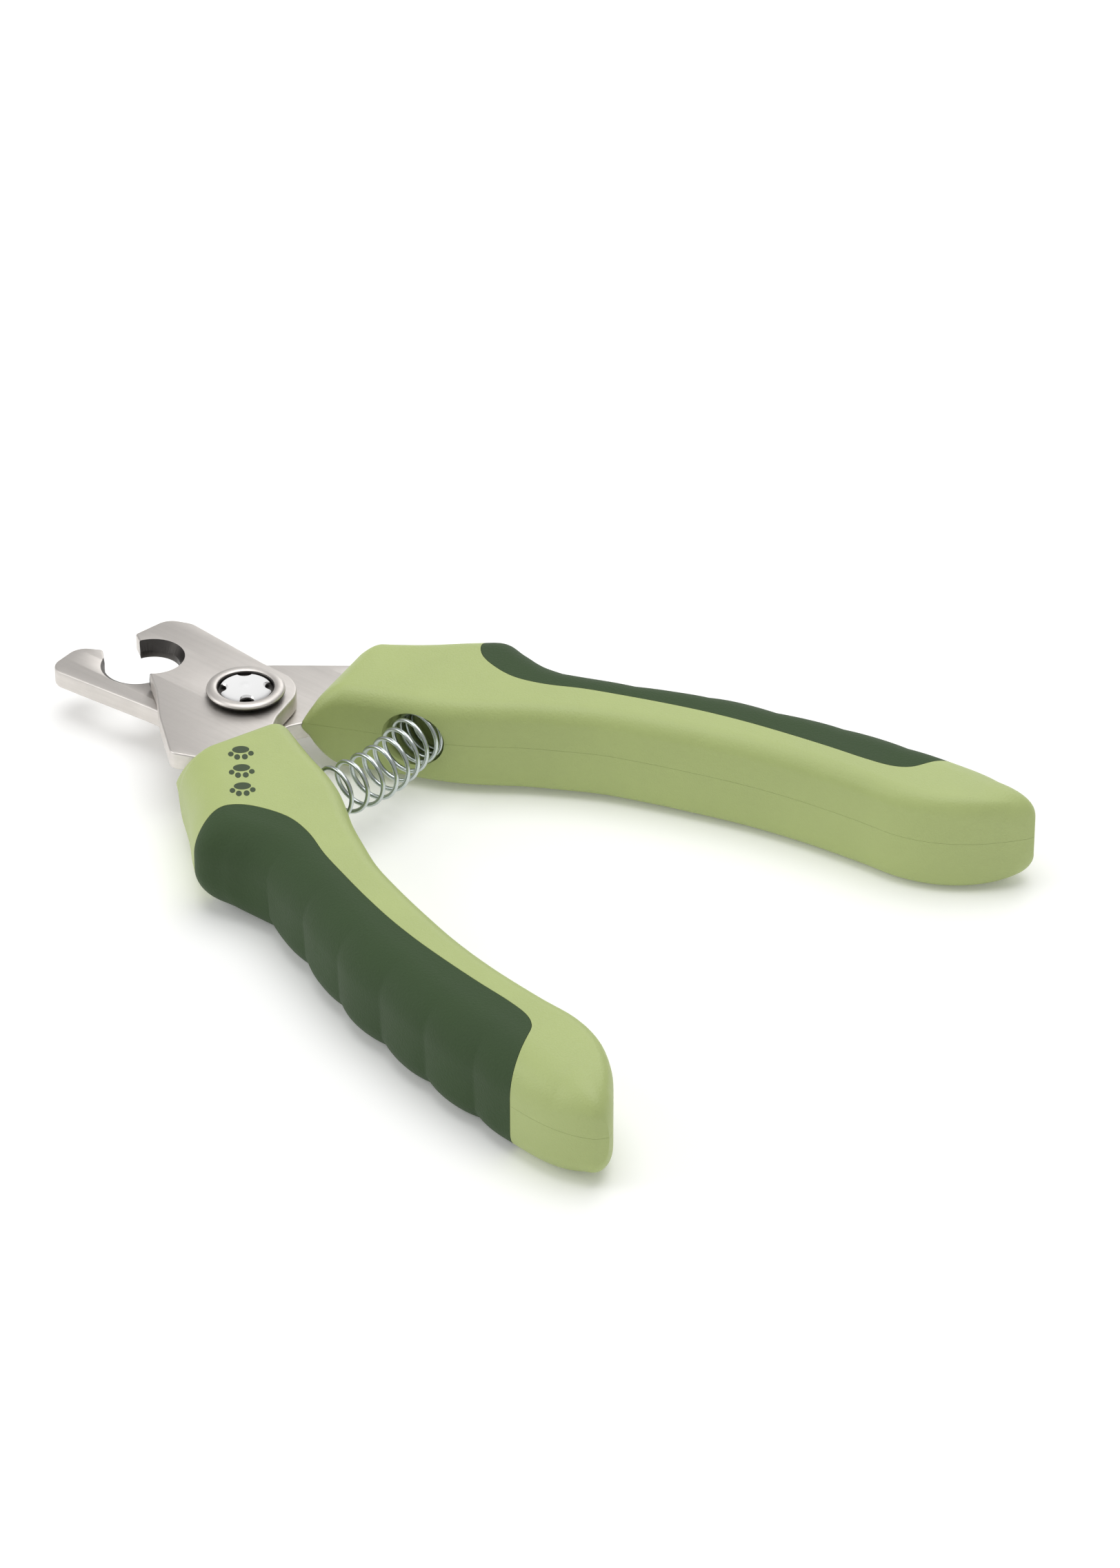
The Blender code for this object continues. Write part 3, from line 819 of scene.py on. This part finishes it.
def shell_section(t):
    """The closed outline of the handle at station t, in space."""
    s = Station(t)
    outline = [
        *arc((s.width - s.r_low, s.r_low - s.half), s.r_low, -pi / 2, 0, 14),
        *arc((s.width - s.r_top, s.half - s.r_top), s.r_top, 0, pi / 2, 18),
        *arc((s.r_in, s.half - s.r_in), s.r_in, pi / 2, pi, 12),
        *arc((s.r_in, s.r_in - s.half), s.r_in, pi, 1.5 * pi, 12),
    ]
    return [s.stand(a, z) for a, z in outline]


def loft(name, sections, side):
    """A closed solid through the sections, turned over to -Y for the near handle."""
    bm = bmesh.new()
    flip = Vector((1, side, 1))
    rings = [[bm.verts.new(p * flip) for p in section] for section in sections]
    for before, after in zip(rings, rings[1:]):
        for k in range(len(before)):
            bm.faces.new((before[k - 1], before[k], after[k], after[k - 1]))
    bm.faces.new(rings[0])
    bm.faces.new(rings[-1])
    return finished_mesh(name, bm)


def spread(start, end, count, close_start=False, close_end=False):
    """Numbers from start to end, drawn together at the ends that are asked for."""
    numbers = []
    for k in range(count + 1):
        u = k / count
        if close_start and close_end:
            u = (1 - cos(pi * u)) / 2
        elif close_start:
            u = 1 - cos(pi * u / 2)
        elif close_end:
            u = sin(pi * u / 2)
        numbers.append(start + (end - start) * u)
    return numbers


shell_ts = spread(0, NOSE_SPAN, 30)
shell_ts += spread(NOSE_SPAN, END_START, 150)[1:]
shell_ts += spread(END_START, LAST, 70, close_end=True)[1:]
GRIP_T = 1.8
GRIP_CLEARANCE = 0.07
SKIN_OVER = 0.5  # how far the grip's clearance stands out of the handle
FULL_FIRST, FULL_LAST = 1.6, 14.2  # stations that the grip's blank runs between
GRIP_EDGE = (
    (20.8, 44.0),
    (20.8, 38.0),
    (20.9, 33.0),
    (21.3, 29.2),
    (23.4, 26.6),
    (27.0, 25.2),
    (31.3, 24.8),
    (36.0, 26.1),
    (41.2, 28.7),
    (47.0, 31.0),
    (53.0, 33.2),
    (59.2, 35.2),
    (65.5, 36.8),
    (72.2, 38.1),
    (79.0, 39.2),
    (85.0, 40.0),
    (89.0, 40.9),
    (91.3, 42.4),
    (92.5, 44.7),
    (93.6, 47.6),
    (94.9, 51.5),
    (96.4, 56.0),
    (97.8, 60.0),
)
SPRING_X = 24.0
SEAT_R = 4.4
SEAT_FLOOR_Y = 15.6
SEAT_CHAMFER = 0.6
POCKET_CLEARANCE = 0.12
POCKET_MOUTH = ((3.0, 20.8, 0.5), (-1.0, 12.0, 0.5), (6.0, -1.0, 0.5))


def grip_blank_section(t, side_skin, margin):
    """C-shaped outline of the grip's blank at station t: over, round the outer side and under."""
    s = Station(t)
    bed = -GRIP_T - margin
    edge = s.r_in + 0.6
    tops, lows = [], []
    for rows, lower in ((tops, False), (lows, True)):
        r = s.r_low if lower else s.r_top
        flat, middle = s.width - r, s.middle(lower)
        runs = spread(edge, flat, 16)
        runs += spread(flat, flat + r * pi / 2, 16)[1:]
        runs += spread(flat + r * pi / 2, middle, 5)[1:]
        rows.extend(runs)
    outside = [s.wrap(run, side_skin, False) for run in tops]
    outside += [s.wrap(run, side_skin, True) for run in reversed(lows[:-1])]
    inside = [s.wrap(run, bed, True) for run in lows]
    inside += [s.wrap(run, bed, False) for run in reversed(tops[:-1])]
    return [s.stand(a, z) for a, z in outside + inside], len(outside)


def prism(name, outline, low, high, side=1):
    """A plain upright solid with the outline."""
    ends = [[Vector((x * MM, y * MM, z * MM)) for x, y in outline] for z in (low, high)]
    return loft(name, ends, side)


def grown(points, margin):
    """The outline moved outwards by the margin."""
    outwards = margin if winding(points) > 0 else -margin
    moved = []
    for i, here in enumerate(points):
        along = (points[(i + 1) % len(points)] - points[i - 1]).normalized()
        moved.append(here + Vector((along.y, -along.x)) * outwards)
    return moved


edge_line = [smooth(GRIP_EDGE, (len(GRIP_EDGE) - 1) * k / 176) for k in range(177)]
grip_outline = edge_line + [Vector((97.8, 75.0)), Vector((20.8, 75.0))]

# Moulded grain: the fine spark texture of a mould, as a height.
moulded_grain, start, end = new_group(
    "moulded_grain", "ShaderNodeTree", (("Grains per m", 4200.0),), (("Height", "Float"),)
)
here = moulded_grain.nodes.new("ShaderNodeTexCoord").outputs["Object"]
pits = moulded_grain.nodes.new("ShaderNodeTexVoronoi")
pits.feature = "SMOOTH_F1"
pits.inputs["Smoothness"].default_value = 0.6
moulded_grain.links.new(here, pits.inputs["Vector"])
moulded_grain.links.new(start.outputs["Grains per m"], pits.inputs["Scale"])
grains = noise_node(moulded_grain, here, start.outputs["Grains per m"], 2.0, 0.55)
moulded_grain.links.new(
    math_node(moulded_grain, "MULTIPLY_ADD", pits.outputs["Distance"], 0.7, grains),
    end.inputs["Height"],
)


def moulded(name, tone, roughness, grain, depth, spread_of_tone):
    """A moulded plastic or rubber with grain, cloudy tone and rubbed patches."""
    made, shader, tree = new_material(name, roughness)
    texture = use_group(tree, moulded_grain, Grains_per_m=grain)
    marks = use_group(tree, handling_marks, Patches_per_m=70.0)
    shade = map_range(tree, marks.outputs["Mask"], 0.3, 0.7, 0.0, 1.0)
    dark = tuple(c * (1 - spread_of_tone) for c in tone)
    light = tuple(min(1.0, c * (1 + spread_of_tone)) for c in tone)
    tree.links.new(tone_mix(tree, shade, dark, light), shader.inputs["Base Color"])
    pitted = math_node(tree, "MULTIPLY_ADD", texture.outputs["Height"], 0.12, shade)
    rough = map_range(tree, pitted, 0.0, 1.2, roughness - 0.05, roughness + 0.07)
    tree.links.new(rough, shader.inputs["Roughness"])
    bump_into(tree, shader, texture.outputs["Height"], depth)
    return made


light_green_plastic = moulded(
    "light_green_moulded_plastic", PLASTIC_TONE, 0.46, 3600.0, 0.00004, 0.035
)


def make_shells(side, hand, blade_low):
    """The two half shells of one handle, with the room for its grip, its tang and the spring."""
    sections = [shell_section(t) for t in shell_ts]
    room_ts = spread(FULL_FIRST, FULL_LAST, 150)
    halves = []
    for half_name, other_low, other_high in (
        ("top", -20.0, MID_Z + PARTING / 2),
        ("bottom", MID_Z - PARTING / 2, 40.0),
    ):
        body = loft(f"{hand}_{half_name}_moulded_shell", sections, side)
        other = prism(
            "other_half",
            [Vector(p) for p in ((-40, -80), (140, -80), (140, 80), (-40, 80))],
            other_low,
            other_high,
        )
        blank = loft(
            "grip_room_blank",
            [grip_blank_section(t, SKIN_OVER, GRIP_CLEARANCE)[0] for t in room_ts],
            side,
        )
        room = carve(
            blank,
            prism("room_outline", grown(grip_outline, GRIP_CLEARANCE), -20, 40, side),
            operation="INTERSECT",
        )
        pocket = prism(
            "tang_pocket",
            grown(rounded(list(TANG) + list(POCKET_MOUTH)), POCKET_CLEARANCE),
            blade_low - POCKET_CLEARANCE,
            blade_low + BLADE_T + POCKET_CLEARANCE,
            side,
        )
        seat = turned(
            "spring_seat",
            (
                (0, 0),
                (SEAT_R, 0),
                (SEAT_R, SEAT_FLOOR_Y - SEAT_CHAMFER),
                (SEAT_R - SEAT_CHAMFER, SEAT_FLOOR_Y),
                (0, SEAT_FLOOR_Y),
            ),
            64,
        )
        seat.data.transform(
            Matrix.Translation((SPRING_X * MM, 0, MID_Z * MM))
            @ Matrix.Rotation(-side * pi / 2, 4, "X")
        )
        halves.append(carve(body, other, room, pocket, seat))
    return halves


for side, hand, body, blade_low in (
    (1, "far", "far_half", lower_low),
    (-1, "near", "near_half", upper_low),
):
    for shell, half_name in zip(make_shells(side, hand, blade_low), ("top", "bottom")):
        shell.data.materials.clear()
        shell.data.materials.append(light_green_plastic)
        smooth_shaded(shell, radians(28))
        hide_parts(f"{hand}_{half_name}_shell")
        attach(shell, body)

# ----------------------------------------------------------
# Grips. Soft dark green rubber, moulded over the outer side of each handle, with lobed finger
# grooves that meet in sharp valleys.
# ----------------------------------------------------------
LOBE_PITCH = 10.6
LOBE_DEPTH = 0.9
FIRST_VALLEY_X = 34.0
LAST_VALLEY_X = 87.0
LOBE_POWER = 2.2
LOBE_TOP_SHARE = 0.25  # share of its depth that a groove has where it starts, at the upper face
LOBE_START = 3.0  # the grooves start and grow over this much, before the outer side's rounding
RUBBER_TONE = (0.036, 0.068, 0.024)

dark_green_rubber = moulded("dark_green_soft_rubber", RUBBER_TONE, 0.72, 2600.0, 0.00005, 0.06)
shader = dark_green_rubber.node_tree.nodes["Principled BSDF"]
shader.inputs["Sheen Weight"].default_value = 0.03
shader.inputs["IOR"].default_value = 1.38
shader.inputs["Sheen Roughness"].default_value = 0.5

grip_lobes, start, end = new_group(
    "grip_lobes",
    "GeometryNodeTree",
    (
        ("Blank", "Geometry"),
        ("Pitch", 0.0106),
        ("Depth", 0.0009),
        ("First Valley", 0.034),
        ("Last Valley", 0.087),
        ("Power", 2.2),
        ("Rubber", "Material"),
    ),
    (("Grip", "Geometry"),),
)
lobe_math = partial(math_node, grip_lobes)


def named(tree, name, data_type="FLOAT"):
    node = tree.nodes.new("GeometryNodeInputNamedAttribute")
    node.data_type = data_type
    node.inputs["Name"].default_value = name
    return node.outputs["Attribute"]


def painted_out(tree, geometry, material, end):
    """Makes the geometry real, gives it the material and sends it out of the group."""
    realised = tree.nodes.new("GeometryNodeRealizeInstances")
    tree.links.new(geometry, realised.inputs[0])
    painted = tree.nodes.new("GeometryNodeSetMaterial")
    tree.links.new(realised.outputs[0], painted.inputs["Geometry"])
    tree.links.new(material, painted.inputs["Material"])
    tree.links.new(painted.outputs[0], end.inputs[0])


along = named(grip_lobes, "along")
past_first = lobe_math("SUBTRACT", along, start.outputs["First Valley"])
phase = lobe_math("FRACT", lobe_math("DIVIDE", past_first, start.outputs["Pitch"]))
swing = lobe_math("ABSOLUTE", lobe_math("MULTIPLY_ADD", phase, 2.0, -1.0))
valley = lobe_math("POWER", swing, start.outputs["Power"])
half_lobe = lobe_math("MULTIPLY", start.outputs["Pitch"], 0.5)
first_end = lobe_math("SUBTRACT", start.outputs["First Valley"], half_lobe)
last_end = lobe_math("ADD", start.outputs["Last Valley"], half_lobe)
for factor in (
    lobe_math("GREATER_THAN", along, first_end),
    lobe_math("LESS_THAN", along, last_end),
    named(grip_lobes, "lobe_share"),
    start.outputs["Depth"],
):
    valley = lobe_math("MULTIPLY", valley, factor)
inward = grip_lobes.nodes.new("ShaderNodeVectorMath")
inward.operation = "SCALE"
grip_lobes.links.new(named(grip_lobes, "inward", "FLOAT_VECTOR"), inward.inputs[0])
grip_lobes.links.new(valley, inward.inputs["Scale"])
moved = grip_lobes.nodes.new("GeometryNodeSetPosition")
grip_lobes.links.new(start.outputs["Blank"], moved.inputs["Geometry"])
grip_lobes.links.new(inward.outputs[0], moved.inputs["Offset"])
painted_out(grip_lobes, moved.outputs[0], start.outputs["Rubber"], end)


def with_nodes(made, tree, **values):
    """Runs the tree on the object with the named inputs, and returns the plain mesh it makes."""
    modifier = made.modifiers.new(tree.name, "NODES")
    modifier.node_group = tree
    for item in tree.interface.items_tree:
        label = item.name.replace(" ", "_")
        if item.in_out == "INPUT" and label in values:
            modifier[item.identifier] = values[label]
    made.update_tag()
    return baked(made)


def make_grip(side, hand):
    """One grip: the C-shaped blank, its lobes, and its outline cut through it."""
    grip_ts = spread(FULL_FIRST, FULL_LAST, 420)
    sections, along, share, inward = [], [], [], []
    for t in grip_ts:
        section, outside = grip_blank_section(t, 0.0, 0.0)
        sections.append(section)
        s = Station(t)
        for k, point in enumerate(section):
            a = (Vector(point[:2]) / MM - s.inner).dot(s.across)
            reach = (a - (s.width - s.r_top - LOBE_START)) / LOBE_START
            down = 0.5 - (point.z / MM - HANDLE_Z) / s.half / 2
            growth = LOBE_TOP_SHARE + (1 - LOBE_TOP_SHARE) * min(1.0, max(0.0, down))
            lobed = min(1.0, max(0.0, reach)) * growth
            share.append(lobed if k < outside else 0.0)
            along.append(s.outer.x * MM)
            inward.extend((-s.across.x, -s.across.y * side, 0.0))
    blank = loft(f"{hand}_soft_grip", sections, side)
    for name, kind, values in (
        ("along", "FLOAT", along),
        ("lobe_share", "FLOAT", share),
        ("inward", "FLOAT_VECTOR", inward),
    ):
        attribute = blank.data.attributes.new(name, kind, "POINT")
        attribute.data.foreach_set("vector" if kind == "FLOAT_VECTOR" else "value", values)
    lobed = with_nodes(
        blank,
        grip_lobes,
        Pitch=LOBE_PITCH * MM,
        Depth=LOBE_DEPTH * MM,
        First_Valley=FIRST_VALLEY_X * MM,
        Last_Valley=LAST_VALLEY_X * MM,
        Power=LOBE_POWER,
        Rubber=dark_green_rubber,
    )
    cut = carve(lobed, prism("grip_outline", grip_outline, -20, 40, side), operation="INTERSECT")
    cut.data.materials.clear()
    cut.data.materials.append(dark_green_rubber)
    for name in ("along", "lobe_share", "inward"):
        if name in cut.data.attributes:
            cut.data.attributes.remove(cut.data.attributes[name])
    return cut


for side, hand, body in ((1, "far", "far_half"), (-1, "near", "near_half")):
    grip = make_grip(side, hand)
    smooth_shaded(grip, radians(24))
    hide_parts(f"{hand}_grip")
    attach(grip, body)

# ----------------------------------------------------------
# Return spring. Zinc plated wire, coiled open between a closed turn in the near handle's seat and
# three closer turns towards the far one. It bows outwards.
# ----------------------------------------------------------
SPRING_HALF_LENGTH = 15.2
SPRING_R = 3.75
WIRE_R = 0.35
SPRING_TURNS = 13
SPRING_BOW = 2.0  # between its seats it bows out towards the handles' ends
SPRING_BOW_HALF = 12.5
CLOSED_RISE = 2.4  # a closed turn rises by this many wire radii
NEAR_CLOSED_TURNS = 1.0
FAR_CLOSE_TURNS = 3.0  # turns that are wound closer at the far end
FAR_CLOSE_RISE = 1.3
ZINC_TONE = (0.58, 0.63, 0.63)

zinc_wire = steel("zinc_plated_wire", ZINC_TONE, 0.22, 16000.0, 0.000002)

coiled_wire, start, end = new_group(
    "coiled_wire",
    "GeometryNodeTree",
    (
        ("Start", "Geometry"),
        ("Coil Radius", 0.00375),
        ("Wire Radius", 0.00035),
        ("Turns", 13.0),
        ("Near Closed Turns", 1.0),
        ("Far Close Turns", 3.0),
        ("Far Close Rise", 0.0013),
        ("Half Length", 0.0152),
        ("Bow", 0.002),
        ("Bow Half", 0.0125),
        ("Centre X", 0.024),
        ("Centre Z", 0.0084),
        ("Points", 1100),
        ("Wire", "Material"),
    ),
    (("Spring", "Geometry"),),
)
wire_math = partial(math_node, coiled_wire)
straight = coiled_wire.nodes.new("GeometryNodeCurvePrimitiveLine")
counted = coiled_wire.nodes.new("GeometryNodeResampleCurve")
coiled_wire.links.new(straight.outputs[0], counted.inputs["Curve"])
coiled_wire.links.new(start.outputs["Points"], counted.inputs["Count"])
factor = coiled_wire.nodes.new("GeometryNodeSplineParameter").outputs["Factor"]
turn = wire_math("MULTIPLY", factor, start.outputs["Turns"])
angle = wire_math("MULTIPLY", turn, 2 * pi)
reach = wire_math("SUBTRACT", start.outputs["Half Length"], start.outputs["Wire Radius"])
near_rise = wire_math("MULTIPLY", start.outputs["Wire Radius"], CLOSED_RISE)
near_turns = start.outputs["Near Closed Turns"]
far_turns = start.outputs["Far Close Turns"]
far_rise = start.outputs["Far Close Rise"]
wound_turns = wire_math("ADD", near_turns, far_turns)
open_turns = wire_math("SUBTRACT", start.outputs["Turns"], wound_turns)
far_length = wire_math("MULTIPLY", far_turns, far_rise)
wound_length = wire_math("MULTIPLY_ADD", near_turns, near_rise, far_length)
open_length = wire_math("SUBTRACT", wire_math("MULTIPLY", reach, 2.0), wound_length)
open_rise = wire_math("DIVIDE", open_length, open_turns)
near_so_far = wire_math("MINIMUM", turn, near_turns)
past_near = wire_math("SUBTRACT", turn, near_turns)
open_so_far = wire_math("MINIMUM", wire_math("MAXIMUM", past_near, 0.0), open_turns)
far_so_far = wire_math("MAXIMUM", wire_math("SUBTRACT", past_near, open_turns), 0.0)
rise = wire_math("MULTIPLY", far_so_far, far_rise)
rise = wire_math("MULTIPLY_ADD", open_so_far, open_rise, rise)
rise = wire_math("MULTIPLY_ADD", near_so_far, near_rise, rise)
place = coiled_wire.nodes.new("ShaderNodeCombineXYZ")
axial = wire_math("SUBTRACT", rise, reach)
axial_share = wire_math("DIVIDE", axial, start.outputs["Bow Half"])
axial_square = wire_math("MULTIPLY", axial_share, axial_share)
bowed = wire_math("MAXIMUM", wire_math("SUBTRACT", 1.0, axial_square), 0.0)
bowed = wire_math("MULTIPLY", bowed, bowed)
bowed_x = wire_math("MULTIPLY_ADD", bowed, start.outputs["Bow"], start.outputs["Centre X"])
for label, wave, centre in (("X", "COSINE", bowed_x), ("Z", "SINE", start.outputs["Centre Z"])):
    swing = wire_math(wave, angle)
    swung = wire_math("MULTIPLY_ADD", swing, start.outputs["Coil Radius"], centre)
    coiled_wire.links.new(swung, place.inputs[label])
coiled_wire.links.new(axial, place.inputs["Y"])
coiled = coiled_wire.nodes.new("GeometryNodeSetPosition")
coiled_wire.links.new(counted.outputs[0], coiled.inputs["Geometry"])
coiled_wire.links.new(place.outputs[0], coiled.inputs["Position"])
wire_round = coiled_wire.nodes.new("GeometryNodeCurvePrimitiveCircle")
wire_round.inputs["Resolution"].default_value = 14
coiled_wire.links.new(start.outputs["Wire Radius"], wire_round.inputs["Radius"])
drawn = coiled_wire.nodes.new("GeometryNodeCurveToMesh")
coiled_wire.links.new(coiled.outputs[0], drawn.inputs["Curve"])
coiled_wire.links.new(wire_round.outputs["Curve"], drawn.inputs["Profile Curve"])
drawn.inputs["Fill Caps"].default_value = True
painted_out(coiled_wire, drawn.outputs[0], start.outputs["Wire"], end)

spring = with_nodes(
    link("coiled_return_spring", bpy.data.meshes.new("coiled_return_spring")),
    coiled_wire,
    Coil_Radius=SPRING_R * MM,
    Wire_Radius=WIRE_R * MM,
    Turns=float(SPRING_TURNS),
    Near_Closed_Turns=NEAR_CLOSED_TURNS,
    Far_Close_Turns=FAR_CLOSE_TURNS,
    Far_Close_Rise=FAR_CLOSE_RISE * MM,
    Half_Length=SPRING_HALF_LENGTH * MM,
    Bow=SPRING_BOW * MM,
    Bow_Half=SPRING_BOW_HALF * MM,
    Centre_X=SPRING_X * MM,
    Centre_Z=MID_Z * MM,
    Wire=zinc_wire,
)
welded(spring.data)
smooth_shaded(spring, radians(50))
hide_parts("return_spring")
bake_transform(spring)

# ----------------------------------------------------------
# Tang pins. Two plain dowels hold each tang between its shells. They keep their CAD shape.
# ----------------------------------------------------------
for hand in ("near", "far"):
    for place in ("front", "rear"):
        pin = nodes[f"{hand}_{place}_tang_pin"]
        pin.data.materials.clear()
        pin.data.materials.append(worn_steel)

# ----------------------------------------------------------
# Printed mark. A short trail of paw prints, pad printed in dark green ink on the near handle's
# upper face, a few hundredths of a millimetre thick.
# ----------------------------------------------------------
PAW_AT = Vector((17.3, -19.8))
PAW_TRAIL = Vector((0.69, -0.72)).normalized()
PAW_SPACING = 4.9
PAW_SIZE = 4.3
INK_T = 0.04
PAW_PADS = (
    # forward, across, half length, half width, of one paw's size
    (-0.16, 0.0, 0.22, 0.29),
    (0.10, -0.34, 0.15, 0.095),
    (0.30, -0.13, 0.17, 0.10),
    (0.30, 0.13, 0.17, 0.10),
    (0.10, 0.34, 0.15, 0.095),
)

ink = moulded("dark_green_print_ink", (0.035, 0.06, 0.02), 0.5, 5000.0, 0.00001, 0.12)
top_shell = bpy.data.objects["near_top_moulded_shell"]
bpy.context.view_layer.update()


def on_shell(x, y):
    """Height of the near handle's upper face over a point in plan, in metres."""
    hit, point, _, _ = top_shell.ray_cast(Vector((x * MM, y * MM, 0.05)), Vector((0, 0, -1)))
    return point.z if hit else (HANDLE_Z + NECK_HALF_T) * MM


across = Vector((-PAW_TRAIL.y, PAW_TRAIL.x))
bm = bmesh.new()
for number in (-1, 0, 1):
    centre = PAW_AT + PAW_TRAIL * PAW_SPACING * number
    for forward, sideways, half_length, half_width in PAW_PADS:
        layers = []
        for lift in (INK_T / 2 * MM, -INK_T / 2 * MM):
            rings = []
            for ring in range(5):
                grown_to = ring / 4
                row = []
                for k in range(28 if ring else 1):
                    turn = 2 * pi * k / 28
                    f = forward + half_length * grown_to * cos(turn)
                    c = sideways + half_width * grown_to * sin(turn)
                    spot = centre + (PAW_TRAIL * f + across * c) * PAW_SIZE
                    height = on_shell(spot.x, spot.y) + lift
                    row.append(bm.verts.new((spot.x * MM, spot.y * MM, height)))
                rings.append(row)
            layers.append(rings)
            for before, after in zip(rings, rings[1:]):
                skinned(bm, before, after)
        for k in range(28):
            bm.faces.new(
                (layers[0][4][k - 1], layers[0][4][k], layers[1][4][k], layers[1][4][k - 1])
            )
paw_trail = finished_mesh("paw_trail_print", bm)
paw_trail.data.materials.append(ink)
smooth_shaded(paw_trail)
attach(paw_trail, "near_half")
